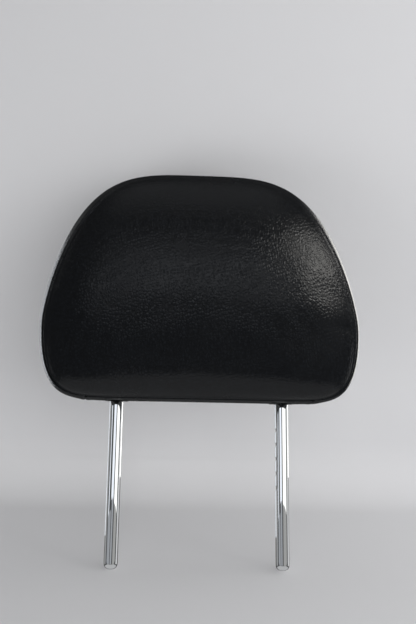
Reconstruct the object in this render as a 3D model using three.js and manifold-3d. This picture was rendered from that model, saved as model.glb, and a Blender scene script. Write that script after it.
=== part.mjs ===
// Car headrest: a chromed post frame that carries a tilting padded head.
// Millimetres, +Z up along the posts, +X to the viewer's right, -Y to the front of the head.
// The origin is midway between the two post axes, level with the post tips.

import * as THREE from 'three';
import { mergeVertices } from 'three/addons/utils/BufferGeometryUtils.js';
import Module from 'manifold-3d';

const wasm = await Module();
wasm.setup();

// Post frame
const POST_DIAMETER = 12;
const POST_SPACING = 150;
const POST_LENGTH = 146;
const POST_BEND_RADIUS = 24;
const POST_TIP_ROUND = 4.5;
const CROSSBAR_ABOVE_UNDERSIDE = 60;
const NOTCH_COUNT = 5;
const NOTCH_PITCH = 12.8;
const LOWEST_NOTCH_ABOVE_TIP = 71;
const NOTCH_HEIGHT = 2.6;
const NOTCH_DEPTH = 1.3;
const NOTCH_RAMP = 1.4;

// Head: its outline seen from the front, then its depth
const HEAD_WIDTH = 296;
const HEAD_HEIGHT = 227;
const WIDEST_ABOVE_UNDERSIDE = 72;
const CENTRE_ABOVE_UNDERSIDE = 86;
const UPPER_OUTLINE = { across: 3.8, up: 1.42 };
const LOWER_OUTLINE = { across: 11, up: 1.94 };
const FRONT_DEPTH = 50;
const FRONT_DEPTH_LOST_AT_CROWN = 8;
const REAR_DEPTH = 44;
const REAR_DEPTH_LOST_AT_CROWN = 10;
const EDGE_LINE_OFFSET = 2;
const CROWN_LEAN_BACK = 16;
const UNDERSIDE_RISE = 0.12;
const UNDERSIDE_SQUARENESS = 4;
const CROWN_SQUARENESS = 2.6;

// Seams, as angles round the section of the head from its widest line
const FRONT_SEAM_ANGLE = 30.5;
const CROWN_SEAM_ANGLE = 24.5;
const CROWN_SEAM_FADE_START = 0.85;
const REAR_SEAM_ANGLE = 30;
const UNDERSIDE_PANEL_HALF_WIDTH = 104;

// Layers of the head and the gap kept between touching pieces
const COVER_THICKNESS = 3;
const FIT = 0.3;
const COVER_FIT = 0.35;

// Tilt of the head about the crossbar, in degrees
const TILT_FORWARD = 12;
const TILT_BACK = 6;
const SLOT_CLEARANCE = 1.5;

// Slot bezels, set flush in the underside
const BEZEL_WALL = 1.5;
const BEZEL_FLANGE = 1.5;
const BEZEL_FLANGE_THICKNESS = 1.1;
const BEZEL_EDGE = 0.4;
const BEZEL_COLLAR_HEIGHT = 3.6;

// Armature: two moulded half shells
const ARMATURE_BEYOND_POST = 25;
const ARMATURE_HEIGHT = 102;
const ARMATURE_DEPTH = 48;
const ARMATURE_WALL = 2.5;
const ARMATURE_ABOVE_UNDERSIDE = 12;
const RIB_THICKNESS = 2.5;
const RIB_FROM_SPRING = 1.3;
const STIFFENER_HEIGHT = 7;
const STIFFENER_ABOVE_CROSSBAR = 26;
const SADDLE_HALF_HEIGHT = 16;

// Hinge bushes and their friction springs
const BUSH_LENGTH = 24;
const BUSH_WALL = 2.7;
const BUSH_COLLAR = 1.8;
const BUSH_COLLAR_LENGTH = 1.6;
const BUSH_FROM_BEND = 3;
const SPRING_WIDTH = 8;
const SPRING_THICKNESS = 1;
const SPRING_MOUTH = 60;

// Armature screws
const SCREW_DIAMETER = 4;
const SCREW_HEAD_DIAMETER = 8;
const SCREW_HEAD_EDGE = 1.1;
const SCREW_HEAD_HEIGHT = 2.2;
const SCREW_HEAD_FLAT_DIAMETER = 5.6;
const SCREW_DRIVE_DIAMETER = 2.8;
const SCREW_DRIVE_FLOOR_DIAMETER = 2;
const SCREW_DRIVE_DEPTH = 1.3;
const SCREW_POINT_LENGTH = 2;
const SCREW_HOLE_PAST_TIP = 2;
const SCREW_TIP_FROM_FRONT = 7;
const SCREW_RECESS_FLOOR = 3;
const BOSS_WALL = 2.2;
const BOSS_INSET = 12;

// Facets
const UNDERSIDE_STEPS = 12;
const SIDE_STEPS = 40;
const DOME_STEPS = 8;
const BAND_STEPS = 4;
const POST_SIDES = 16;
const TIP_STEPS = 5;
const BEND_STEPS = 6;
const SLOT_ARC_STEPS = 8;
const SADDLE_SIDES = 24;
const SCREW_SIDES = 12;
const BUSH_STEPS = 10;
const SPRING_STEPS = 20;

// How far a cut runs past the face that it opens, and past the curved underside
const CUT_PAST = 1;
const UNDERSIDE_CUT_PAST = 20;

const postRadius = POST_DIAMETER / 2;
const postX = POST_SPACING / 2;
const undersideZ = POST_LENGTH;
const crownZ = undersideZ + HEAD_HEIGHT;
const centreZ = undersideZ + CENTRE_ABOVE_UNDERSIDE;
const crossbarZ = undersideZ + CROSSBAR_ABOVE_UNDERSIDE;
const degrees = Math.PI / 180;

function v3(x, y, z) {
  return new THREE.Vector3(x, y, z);
}

function smoothstep(from, to, value) {
  const share = Math.min(Math.max((value - from) / (to - from), 0), 1);
  return share * share * (3 - 2 * share);
}

function spread(from, to, steps) {
  return Array.from({ length: steps + 1 }, (_, i) => from + ((to - from) * i) / steps);
}

// The value between two limits at which a rising function reaches a target
function solve(rising, target, low, high) {
  let [from, to] = [low, high];
  for (let i = 0; i < 30; i += 1) {
    const middle = (from + to) / 2;
    if (rising(middle) < target) from = middle;
    else to = middle;
  }
  return (from + to) / 2;
}

// Solids

function closedGeometry(triangles) {
  const loose = new THREE.BufferGeometry();
  loose.setAttribute('position', new THREE.Float32BufferAttribute(triangles.flat(), 3));
  return outward(welded(loose));
}

function welded(geometry) {
  const bare = geometry.clone();
  bare.deleteAttribute('normal');
  bare.deleteAttribute('uv');
  const merged = mergeVertices(bare, 1e-4);
  const index = Array.from(merged.index.array);
  const kept = [];
  for (let i = 0; i < index.length; i += 3) {
    const [a, b, c] = index.slice(i, i + 3);
    if (a !== b && b !== c && c !== a) kept.push(a, b, c);
  }
  merged.setIndex(kept);
  return merged;
}

function signedVolume(geometry) {
  const position = geometry.attributes.position;
  const index = geometry.index.array;
  const corner = [v3(0, 0, 0), v3(0, 0, 0), v3(0, 0, 0)];
  let volume = 0;
  for (let i = 0; i < index.length; i += 3) {
    corner.forEach((c, k) => c.fromBufferAttribute(position, index[i + k]));
    volume += corner[0].dot(corner[1].clone().cross(corner[2])) / 6;
  }
  return volume;
}

function outward(geometry) {
  if (signedVolume(geometry) < 0) {
    const turned = Array.from(geometry.index.array);
    for (let i = 0; i < turned.length; i += 3) {
      [turned[i], turned[i + 1]] = [turned[i + 1], turned[i]];
    }
    geometry.setIndex(turned);
  }
  return geometry;
}

// The faces that fill a flat ring of points, turned the way the ring runs
function capFaces(ring) {
  const normal = v3(0, 0, 0);
  ring.forEach((point, i) => normal.add(point.clone().cross(ring[(i + 1) % ring.length])));
  const toFlat = new THREE.Quaternion().setFromUnitVectors(normal.normalize(), v3(0, 0, 1));
  const flat = ring.map((point) => point.clone().applyQuaternion(toFlat));
  const outline = flat.map((point) => new THREE.Vector2(point.x, point.y));
  return THREE.ShapeUtils.triangulateShape(outline, []).map(([a, b, c]) => (
    THREE.ShapeUtils.area([outline[a], outline[b], outline[c]]) > 0 ? [a, b, c] : [a, c, b]
  ));
}

// A section polygon is placed at each station; the stations close on themselves or end in caps.
function sweep(section, stations, place, closed = false) {
  const rings = stations.map((station) => section.map((point) => place(station, point)));
  const triangles = [];
  const count = section.length;
  const last = closed ? rings.length : rings.length - 1;
  for (let i = 0; i < last; i += 1) {
    const here = rings[i];
    const next = rings[(i + 1) % rings.length];
    for (let j = 0; j < count; j += 1) {
      const k = (j + 1) % count;
      triangles.push([...here[j], ...next[j], ...next[k]]);
      triangles.push([...here[j], ...next[k], ...here[k]]);
    }
  }
  if (!closed) {
    const first = rings[0];
    const end = rings[rings.length - 1];
    capFaces(first).forEach(([a, b, c]) => triangles.push([...first[a], ...first[b], ...first[c]]));
    capFaces(end).forEach(([a, b, c]) => triangles.push([...end[a], ...end[c], ...end[b]]));
  }
  return closedGeometry(triangles);
}

function solid(geometry) {
  const shape = outward(geometry.index && !geometry.attributes.uv ? geometry : welded(geometry));
  const mesh = new wasm.Mesh({
    numProp: 3,
    vertProperties: new Float32Array(shape.attributes.position.array),
    triVerts: new Uint32Array(shape.index.array),
  });
  return new wasm.Manifold(mesh);
}

function geometryOf(manifold) {
  const mesh = manifold.getMesh();
  const geometry = new THREE.BufferGeometry();
  geometry.setAttribute('position', new THREE.Float32BufferAttribute(mesh.vertProperties, 3));
  geometry.setIndex(Array.from(mesh.triVerts));
  return geometry;
}

function block(from, to) {
  const size = to.map((value, i) => value - from[i]);
  const box = new THREE.BoxGeometry(...size);
  box.translate(...from.map((value, i) => value + size[i] / 2));
  return solid(box);
}

// A round bar along X or Y between two coordinates
function rod(axis, radius, from, to, across, sides) {
  const bar = new THREE.CylinderGeometry(radius, radius, to - from, sides);
  if (axis === 'x') bar.rotateZ(Math.PI / 2).translate((from + to) / 2, across[0], across[1]);
  else bar.translate(across[0], (from + to) / 2, across[1]);
  return solid(bar);
}

// Head surface

// The outline runs from the middle of the underside (0) over the right side (0.25),
// the crown (0.5) and the left side (0.75) back to the underside. It is an upper and a lower
// superellipse that meet at the widest line.
function outlinePoint(anyTurn) {
  const turn = anyTurn - Math.floor(anyTurn);
  const side = turn <= 0.5 ? 1 : -1;
  const rise = (turn <= 0.5 ? turn : 1 - turn) * 360 - 90;
  const arc = rise < 0 ? LOWER_OUTLINE : UPPER_OUTLINE;
  const cos = Math.cos(rise * degrees);
  const sin = Math.abs(Math.sin(rise * degrees));
  const reach = solve((r) => (r * cos) ** arc.across + (r * sin) ** arc.up, 1, 0.5, 2);
  const height = rise < 0 ? -WIDEST_ABOVE_UNDERSIDE : HEAD_HEIGHT - WIDEST_ABOVE_UNDERSIDE;
  return {
    x: (side * reach * cos * HEAD_WIDTH) / 2,
    z: undersideZ + WIDEST_ABOVE_UNDERSIDE + reach * sin * height,
  };
}

function heightShare(z) {
  return (z - undersideZ) / HEAD_HEIGHT;
}

function midDepth(share) {
  return EDGE_LINE_OFFSET + CROWN_LEAN_BACK * share * share;
}

function halfDepth(share, side) {
  if (side < 0) return FRONT_DEPTH - FRONT_DEPTH_LOST_AT_CROWN * share;
  return REAR_DEPTH - REAR_DEPTH_LOST_AT_CROWN * share;
}

function squareness(share) {
  return UNDERSIDE_SQUARENESS + (CROWN_SQUARENESS - UNDERSIDE_SQUARENESS) * share;
}

// A point of the head: how far round the outline, the angle round the section from the
// widest line (-90 is the middle of the front, 90 of the rear), and how deep under the surface
function headPoint(turn, angle, inset) {
  const edge = outlinePoint(turn);
  const power = squareness(heightShare(edge.z));
  const cos = Math.abs(Math.cos(angle * degrees));
  const sin = Math.abs(Math.sin(angle * degrees));
  const reach = (cos ** power + sin ** power) ** (-1 / power);
  const side = Math.sign(angle);
  const fromCentre = Math.hypot(edge.x, edge.z - centreZ);
  const across = cos * reach * (1 - inset / fromCentre);
  const flatZ = centreZ + across * (edge.z - centreZ);
  const share = heightShare(flatZ);
  const y = midDepth(share) + side * sin * reach * (halfDepth(share, side) - inset);
  return v3(across * edge.x, y, flatZ + UNDERSIDE_RISE * y * (1 - share));
}

function frontSeamAngle(turn) {
  const crownShare = smoothstep(CROWN_SEAM_FADE_START, 1, heightShare(outlinePoint(turn).z));
  return -(FRONT_SEAM_ANGLE + (CROWN_SEAM_ANGLE - FRONT_SEAM_ANGLE) * crownShare);
}

// The turn at which the outline of the underside reaches a distance from the middle
function turnAtX(x) {
  return solve((turn) => outlinePoint(turn).x, x, 0, 0.25);
}

// Height of the underside at a point of the plan that lies within 50 degrees of the widest line
function undersideAt(x, y) {
  const turnAt = (angle) => solve((turn) => headPoint(turn, angle, 0).x, Math.abs(x), 0, 0.25);
  const angle = solve((candidate) => headPoint(turnAt(candidate), candidate, 0).y, y, -50, 50);
  return headPoint(turnAt(angle), angle, 0).z;
}

// Cover panels and foam share one grid: turns round the outline, and stations from the middle
// of the front face over the front seam, the band and the rear seam to the middle of the rear

const underEdgeTurn = turnAtX(UNDERSIDE_PANEL_HALF_WIDTH);
const underTurns = spread(-underEdgeTurn, underEdgeTurn, UNDERSIDE_STEPS);
const sideTurns = spread(underEdgeTurn, 1 - underEdgeTurn, SIDE_STEPS);
const allTurns = [...underTurns, ...sideTurns.slice(1, -1)];
const frontSeam = DOME_STEPS;
const rearSeam = DOME_STEPS + BAND_STEPS;
const lastStation = DOME_STEPS + BAND_STEPS + DOME_STEPS;

function sectionAngle(turn, station) {
  const front = frontSeamAngle(turn);
  const rear = REAR_SEAM_ANGLE;
  if (station <= frontSeam) return -90 + (front + 90) * (station / DOME_STEPS);
  if (station <= rearSeam) return front + (rear - front) * ((station - frontSeam) / BAND_STEPS);
  return rear + (90 - rear) * ((station - rearSeam) / DOME_STEPS);
}

// Half the seam gap, as an angle round the section
function seamGapAngle(turn) {
  return FIT / 2 / halfDepth(heightShare(outlinePoint(turn).z), -1) / degrees;
}

// One cover panel between two stations, over some turns or all the way round
function coverPanel(fromStation, toStation, turns, closed = false) {
  const stations = spread(fromStation, toStation, toStation - fromStation);
  const section = [
    ...stations.map((station) => new THREE.Vector2(station, COVER_THICKNESS)),
    ...stations.slice().reverse().map((station) => new THREE.Vector2(station, 0)),
  ];
  const place = (turn, { x: station, y: inset }) => {
    let angle = sectionAngle(turn, station);
    if (station === fromStation && station > 0) angle += seamGapAngle(turn);
    if (station === toStation && station < lastStation) angle -= seamGapAngle(turn);
    return headPoint(turn, angle, inset);
  };
  return sweep(section, turns, place, closed);
}

function frontPanel() {
  return coverPanel(0, frontSeam, allTurns, true);
}

function rearPanel() {
  return coverPanel(rearSeam, lastStation, allTurns, true);
}

function sideBand() {
  const firstTurn = turnAtX(UNDERSIDE_PANEL_HALF_WIDTH + FIT);
  const turns = [firstTurn, ...sideTurns.slice(1, -1), 1 - firstTurn];
  return coverPanel(frontSeam, rearSeam, turns);
}

// The underside panel, with a slot for each post and a recess round it for the bezel's flange
function undersidePanel() {
  const rim = BEZEL_WALL + BEZEL_FLANGE + FIT;
  const ceiling = BEZEL_FLANGE_THICKNESS + FIT;
  const recess = [[0, -CUT_PAST], [rim, -CUT_PAST], [rim, ceiling], [0, ceiling]];
  let panel = solid(coverPanel(frontSeam, rearSeam, underTurns));
  [-1, 1].forEach((side) => {
    panel = panel.subtract(slotPrism(side * postX, BEZEL_WALL + FIT));
    panel = panel.subtract(solid(slotSweep(side * postX, recess)));
  });
  return geometryOf(panel);
}

// Slots for the posts

function slotEnds() {
  return {
    front: -CROSSBAR_ABOVE_UNDERSIDE * Math.tan(TILT_FORWARD * degrees),
    rear: CROSSBAR_ABOVE_UNDERSIDE * Math.tan(TILT_BACK * degrees),
  };
}

// Points round a slot at a distance outside its edge, from its front end round to the rear
function slotPath(x, outside) {
  const { front, rear } = slotEnds();
  const radius = postRadius + SLOT_CLEARANCE + outside;
  const arc = (centreY, from) => spread(from, from + 180, SLOT_ARC_STEPS).map((angle) => [
    x + radius * Math.cos(angle * degrees),
    centreY + radius * Math.sin(angle * degrees),
  ]);
  return [...arc(rear, 0), ...arc(front, 180)];
}

function slotPrism(x, outside) {
  const shape = new THREE.Shape(slotPath(x, outside).map(([px, py]) => new THREE.Vector2(px, py)));
  const depth = 2 * UNDERSIDE_CUT_PAST;
  const prism = new THREE.ExtrudeGeometry(shape, { depth, bevelEnabled: false });
  prism.translate(0, 0, undersideZ - UNDERSIDE_CUT_PAST);
  return solid(prism);
}

// A section swept round a slot: how far outside its edge, and how far above the underside
function slotSweep(x, section) {
  const stations = slotPath(x, 0).map((_, i) => i);
  const place = (i, { x: out, y: up }) => {
    const [px, py] = slotPath(x, out)[i];
    return v3(px, py, undersideAt(px, py) + up);
  };
  return sweep(section.map(([out, up]) => new THREE.Vector2(out, up)), stations, place, true);
}

function slotBezel(x) {
  const rim = BEZEL_WALL + BEZEL_FLANGE;
  return slotSweep(x, [
    [0, BEZEL_EDGE],
    [BEZEL_EDGE, 0],
    [rim - BEZEL_EDGE, 0],
    [rim, BEZEL_EDGE],
    [rim, BEZEL_FLANGE_THICKNESS],
    [BEZEL_WALL, BEZEL_FLANGE_THICKNESS],
    [BEZEL_WALL, BEZEL_COLLAR_HEIGHT],
    [0, BEZEL_COLLAR_HEIGHT],
  ]);
}

// Post frame

function postFrame() {
  const tip = [
    [0, postRadius - POST_TIP_ROUND],
    ...spread(90, 0, TIP_STEPS).slice(1).map((angle) => [
      POST_TIP_ROUND * (1 - Math.sin(angle * degrees)),
      postRadius - POST_TIP_ROUND + POST_TIP_ROUND * Math.cos(angle * degrees),
    ]),
  ];
  const bendZ = crossbarZ - POST_BEND_RADIUS;
  const leg = tip.map(([z, radius]) => ({ x: postX, z, turn: 0, radius }));
  const bend = spread(0, 90, BEND_STEPS).map((angle) => ({
    x: postX - POST_BEND_RADIUS * (1 - Math.cos(angle * degrees)),
    z: bendZ + POST_BEND_RADIUS * Math.sin(angle * degrees),
    turn: angle,
    radius: postRadius,
  }));
  const rightHalf = [...leg, ...bend];
  const leftHalf = rightHalf.map((s) => ({ ...s, x: -s.x, turn: 180 - s.turn })).reverse();
  const section = spread(0, 360, POST_SIDES).slice(0, -1).map((angle) => new THREE.Vector2(
    Math.cos(angle * degrees),
    Math.sin(angle * degrees),
  ));
  const place = (station, { x: out, y: forward }) => v3(
    station.x + station.radius * out * Math.cos(station.turn * degrees),
    station.radius * forward,
    station.z + station.radius * out * Math.sin(station.turn * degrees),
  );
  let bar = solid(sweep(section, [...rightHalf, ...leftHalf], place));
  for (let i = 0; i < NOTCH_COUNT; i += 1) {
    bar = bar.subtract(notch(LOWEST_NOTCH_ABOVE_TIP + i * NOTCH_PITCH));
  }
  return geometryOf(bar);
}

// A lock notch across the inner side of the right post: flat above, ramped below
function notch(z) {
  const face = postX - postRadius;
  const shape = new THREE.Shape([
    new THREE.Vector2(face - CUT_PAST, z + NOTCH_HEIGHT / 2),
    new THREE.Vector2(face + NOTCH_DEPTH, z + NOTCH_HEIGHT / 2),
    new THREE.Vector2(face + NOTCH_DEPTH, z - NOTCH_HEIGHT / 2),
    new THREE.Vector2(face - CUT_PAST, z - NOTCH_HEIGHT / 2 - NOTCH_RAMP),
  ]);
  const wedge = new THREE.ExtrudeGeometry(shape, { depth: POST_DIAMETER, bevelEnabled: false });
  wedge.rotateX(Math.PI / 2).translate(0, postRadius, 0);
  return solid(wedge);
}

// Armature

const armature = {
  halfWidth: postX + ARMATURE_BEYOND_POST,
  halfDepth: ARMATURE_DEPTH / 2,
  bottom: undersideZ + ARMATURE_ABOVE_UNDERSIDE,
  top: undersideZ + ARMATURE_ABOVE_UNDERSIDE + ARMATURE_HEIGHT,
};
const bushX = postX - POST_BEND_RADIUS - BUSH_FROM_BEND - BUSH_LENGTH / 2;
const bushRadius = postRadius + FIT + BUSH_WALL;
const bossRadius = SCREW_HEAD_DIAMETER / 2 + FIT + BOSS_WALL;
const screwPlaces = [armature.bottom + BOSS_INSET, armature.top - BOSS_INSET].flatMap((z) => (
  [-1, 0, 1].map((side) => ({ x: side * (armature.halfWidth - BOSS_INSET), z }))
));
const spotsForRibs = [-1, 1].flatMap((side) => [-1, 1].map((end) => (
  side * bushX + end * (SPRING_WIDTH / 2 + RIB_FROM_SPRING + RIB_THICKNESS / 2)
)));

// One half shell, front for side -1 and rear for side 1: a tray open at the mating plane and below
function armatureHalf(side) {
  const { halfWidth, halfDepth: deep, bottom, top } = armature;
  const wall = ARMATURE_WALL;
  const span = (a, b) => (side < 0 ? [-b, -a] : [a, b]);
  const slab = (x, [near, far], z) => block([x[0], near, z[0]], [x[1], far, z[1]]);
  const mating = FIT / 2;
  let half = slab([-halfWidth, halfWidth], span(mating, deep), [bottom, top]);
  half = half.subtract(slab(
    [-halfWidth + wall, halfWidth - wall],
    span(-CUT_PAST, deep - wall),
    [bottom - CUT_PAST, top - wall],
  ));
  const floor = deep - wall / 2;
  spotsForRibs.forEach((x) => {
    half = half.add(slab(
      [x - RIB_THICKNESS / 2, x + RIB_THICKNESS / 2],
      span(mating, floor),
      [crossbarZ - SADDLE_HALF_HEIGHT, crossbarZ + SADDLE_HALF_HEIGHT],
    ));
  });
  half = half.add(slab(
    [-halfWidth + wall / 2, halfWidth - wall / 2],
    span(deep - wall - STIFFENER_HEIGHT, floor),
    [crossbarZ + STIFFENER_ABOVE_CROSSBAR, crossbarZ + STIFFENER_ABOVE_CROSSBAR + RIB_THICKNESS],
  ));
  const saddleEnd = halfWidth - wall - CUT_PAST;
  const saddle = rod('x', bushRadius + FIT, -saddleEnd, saddleEnd, [0, crossbarZ], SADDLE_SIDES);
  half = half.subtract(saddle);
  screwPlaces.forEach(({ x, z }) => {
    half = half.add(rod('y', bossRadius, ...span(mating, floor), [x, z], SCREW_SIDES));
    const hole = SCREW_DIAMETER / 2 + FIT;
    const outside = deep + CUT_PAST;
    const holeEnd = side < 0 ? deep - SCREW_TIP_FROM_FRONT + SCREW_HOLE_PAST_TIP : outside;
    half = half.subtract(rod('y', hole, ...span(-CUT_PAST, holeEnd), [x, z], SCREW_SIDES));
    if (side > 0) {
      const recess = SCREW_HEAD_DIAMETER / 2 + FIT;
      const recessFloor = deep - SCREW_RECESS_FLOOR;
      half = half.subtract(rod('y', recess, recessFloor, outside, [x, z], SCREW_SIDES));
    }
  });
  return geometryOf(half);
}

function armatureScrew({ x, z }) {
  const seat = armature.halfDepth - SCREW_RECESS_FLOOR + FIT;
  const tip = -armature.halfDepth + SCREW_TIP_FROM_FRONT;
  const shank = SCREW_DIAMETER / 2;
  const head = SCREW_HEAD_DIAMETER / 2;
  const driveFloor = seat + SCREW_HEAD_HEIGHT - SCREW_DRIVE_DEPTH;
  const profile = [
    [0, tip],
    [shank, tip + SCREW_POINT_LENGTH],
    [shank, seat],
    [head, seat],
    [head, seat + SCREW_HEAD_EDGE],
    [SCREW_HEAD_FLAT_DIAMETER / 2, seat + SCREW_HEAD_HEIGHT],
    [SCREW_DRIVE_DIAMETER / 2, seat + SCREW_HEAD_HEIGHT],
    [SCREW_DRIVE_FLOOR_DIAMETER / 2, driveFloor],
    [0, driveFloor],
  ].map(([radius, y]) => new THREE.Vector2(radius, y));
  const screw = outward(welded(new THREE.LatheGeometry(profile, SCREW_SIDES)));
  screw.translate(x, 0, z);
  return screw;
}

// Half a bush round the crossbar, with a collar at each end; side -1 is the front half
function bushHalf(x, side) {
  const bore = postRadius + FIT;
  const half = BUSH_LENGTH / 2;
  const section = [
    [-half, bore],
    [half, bore],
    [half, bushRadius + BUSH_COLLAR],
    [half - BUSH_COLLAR_LENGTH, bushRadius + BUSH_COLLAR],
    [half - BUSH_COLLAR_LENGTH, bushRadius],
    [-half + BUSH_COLLAR_LENGTH, bushRadius],
    [-half + BUSH_COLLAR_LENGTH, bushRadius + BUSH_COLLAR],
    [-half, bushRadius + BUSH_COLLAR],
  ].map(([along, radius]) => new THREE.Vector2(along, radius));
  const partingAngle = FIT / 2 / bore / degrees;
  const place = (angle, { x: along, y: radius }) => v3(
    x + along,
    side * radius * Math.sin(angle * degrees),
    crossbarZ + radius * Math.cos(angle * degrees),
  );
  return sweep(section, spread(partingAngle, 180 - partingAngle, BUSH_STEPS), place);
}

// A spring steel clip round a bush, open below
function frictionSpring(x) {
  const inner = bushRadius + FIT;
  const section = [
    [-SPRING_WIDTH / 2, inner],
    [SPRING_WIDTH / 2, inner],
    [SPRING_WIDTH / 2, inner + SPRING_THICKNESS],
    [-SPRING_WIDTH / 2, inner + SPRING_THICKNESS],
  ].map(([along, radius]) => new THREE.Vector2(along, radius));
  const place = (angle, { x: along, y: radius }) => v3(
    x + along,
    radius * Math.sin(angle * degrees),
    crossbarZ - radius * Math.cos(angle * degrees),
  );
  return sweep(section, spread(SPRING_MOUTH / 2, 360 - SPRING_MOUTH / 2, SPRING_STEPS), place);
}

// Foam pad: the head under its cover, with the pocket that slides over the armature
function foamPad() {
  const inset = COVER_THICKNESS + COVER_FIT;
  const stations = spread(0, lastStation, lastStation);
  const section = stations.map((station) => new THREE.Vector2(station, inset));
  const place = (turn, { x: station }) => headPoint(turn, sectionAngle(turn, station), inset);
  const body = solid(sweep(section, allTurns, place, true));
  const pocket = block(
    [-armature.halfWidth - FIT, -armature.halfDepth - FIT, undersideZ - UNDERSIDE_CUT_PAST],
    [armature.halfWidth + FIT, armature.halfDepth + FIT, armature.top + FIT],
  );
  return geometryOf(body.subtract(pocket));
}

// Materials

function finish(color, roughness, metalness = 0) {
  return () => new THREE.MeshStandardMaterial({ color, roughness, metalness });
}
const chrome = finish(0xd8dadc, 0.08, 1);
const leather = finish(0x1c1d1f, 0.5);
const foam = finish(0x8b8c86, 0.95);
const blackPlastic = finish(0x151617, 0.45);
const greyPlastic = finish(0x5a5c5e, 0.55);
const bushPlastic = finish(0xe6e2d6, 0.4);
const springSteel = finish(0x8e9296, 0.35, 1);
const zincSteel = finish(0xb9b6a4, 0.35, 1);

const headrest = new THREE.Group();

function piece(name, geometry, makeMaterial) {
  const shaded = geometry.clone();
  shaded.computeVertexNormals();
  const mesh = new THREE.Mesh(shaded, makeMaterial());
  mesh.name = name;
  headrest.add(mesh);
}

piece('post_frame', postFrame(), chrome);
piece('armature_front', armatureHalf(-1), greyPlastic);
piece('armature_rear', armatureHalf(1), greyPlastic);
[['left', -1], ['right', 1]].forEach(([name, side]) => {
  piece(`tilt_bush_${name}_front`, bushHalf(side * bushX, -1), bushPlastic);
  piece(`tilt_bush_${name}_rear`, bushHalf(side * bushX, 1), bushPlastic);
  piece(`friction_spring_${name}`, frictionSpring(side * bushX), springSteel);
  piece(`slot_bezel_${name}`, slotBezel(side * postX), blackPlastic);
});
screwPlaces.forEach((spot, i) => piece(`armature_screw_${i + 1}`, armatureScrew(spot), zincSteel));
piece('foam_pad', foamPad(), foam);
piece('cover_front_panel', frontPanel(), leather);
piece('cover_rear_panel', rearPanel(), leather);
piece('cover_side_band', sideBand(), leather);
piece('cover_underside_panel', undersidePanel(), leather);

export default headrest;
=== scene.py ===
"""A car headrest in black leather on two chromed posts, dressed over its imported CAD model."""

import math

import bpy
import numpy as np
from mathutils import Matrix, Vector


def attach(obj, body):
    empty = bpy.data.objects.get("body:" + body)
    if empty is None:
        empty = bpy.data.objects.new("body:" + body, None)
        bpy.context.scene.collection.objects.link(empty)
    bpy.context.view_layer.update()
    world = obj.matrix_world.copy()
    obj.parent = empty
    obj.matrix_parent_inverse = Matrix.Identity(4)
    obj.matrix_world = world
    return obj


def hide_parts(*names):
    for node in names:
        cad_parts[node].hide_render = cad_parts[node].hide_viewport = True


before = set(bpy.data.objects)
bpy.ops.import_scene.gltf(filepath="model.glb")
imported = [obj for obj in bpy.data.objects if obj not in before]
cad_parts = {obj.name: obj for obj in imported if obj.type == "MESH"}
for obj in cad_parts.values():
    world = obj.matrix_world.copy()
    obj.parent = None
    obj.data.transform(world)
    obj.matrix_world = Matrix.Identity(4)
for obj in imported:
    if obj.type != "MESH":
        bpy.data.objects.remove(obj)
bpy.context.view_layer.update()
scene = bpy.context.scene

MM = 0.001

# Posts
POST_RADIUS = 6 * MM
POST_X = 75 * MM
POST_LENGTH = 146 * MM
POST_BEND_RADIUS = 24 * MM
POST_TIP_ROUND = 4.5 * MM
CROSSBAR_Z = 206 * MM
NOTCH_COUNT = 5
NOTCH_PITCH = 12.8 * MM
LOWEST_NOTCH = 71 * MM
NOTCH_HEIGHT = 2.6 * MM
NOTCH_DEPTH = 1.3 * MM
NOTCH_RAMP = 0.8 * MM
NOTCH_EDGE = 0.3 * MM
HAIR = 0.02 * MM
POST_SIDES = 64

# Head: its outline seen from the front, its depth, and how square its section is
UNDERSIDE_Z = POST_LENGTH
HEAD_WIDTH = 296 * MM
HEAD_HEIGHT = 227 * MM
WIDEST_Z = UNDERSIDE_Z + 72 * MM
CENTRE_Z = UNDERSIDE_Z + 86 * MM
UPPER_OUTLINE = (3.8, 1.42)
LOWER_OUTLINE = (11, 1.94)
FRONT_DEPTH = 50 * MM
FRONT_DEPTH_LOST = 8 * MM
REAR_DEPTH = 44 * MM
REAR_DEPTH_LOST = 10 * MM
EDGE_LINE_OFFSET = 2 * MM
CROWN_LEAN_BACK = 16 * MM
UNDERSIDE_RISE = 0.12
SQUARENESS = 4
SQUARENESS_LOST = 1.4

# Seams, as angles in degrees round the section from its widest line, and the underside panel's end
FRONT_SEAM = 30.5
FRONT_SEAM_LOST = 6
CROWN_START = 0.85
REAR_SEAM = 30
BAND_HALF_WIDTH = 104 * MM

# Leather cover: its wall, and the rounded lips that the panels turn in at a seam
WALL = 2.8 * MM
LINING_ROOM = 0.1 * MM
SEAM_GAP = 0.35 * MM
LIP_WIDTH = 1.8 * MM
LIP_DEPTH = 2.6 * MM
LIP_BENDS = (18, 36, 54, 72, 90)
SEAM_FLOOR = 1.9 * MM
DOME_STEPS = 76
SIDE_STEPS = 190
UNDERSIDE_STEPS = 90
BAND_STEPS = 15

# How far the foam swells the leather between its seams, and the ridge above the pressed lower half
SWELL_ROOM = 0.7 * MM
SWELL_PRESSURE = 4.0
SWELL_CAP = 2.5 * MM
SWELL_STEPS = 20
IRONED = 14
RIDGE_Z = 236 * MM
RIDGE_DROP = 0.075
RIDGE_HEIGHT = 0.45 * MM
RIDGE_WIDTH = 16 * MM
RIDGE_EDGE = (38, 52)

# Slots for the posts in the underside
SLOT_RADIUS = 7.5 * MM
SLOT_FRONT = -12.75 * MM
SLOT_REAR = 6.31 * MM
BEZEL_WALL = 1.5 * MM
BEZEL_RIM = 3.0 * MM
BEZEL_FLANGE_THICKNESS = 1.1 * MM
BEZEL_COLLAR = 3.6 * MM
BEZEL_ROUND = 0.45 * MM
BEZEL_BEVEL = 0.13 * MM
BEZEL_FIT = 0.3 * MM
SLOT_STEPS = 22
CUT_REACH = 20 * MM
RECESS_REACH = 4 * MM

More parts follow.
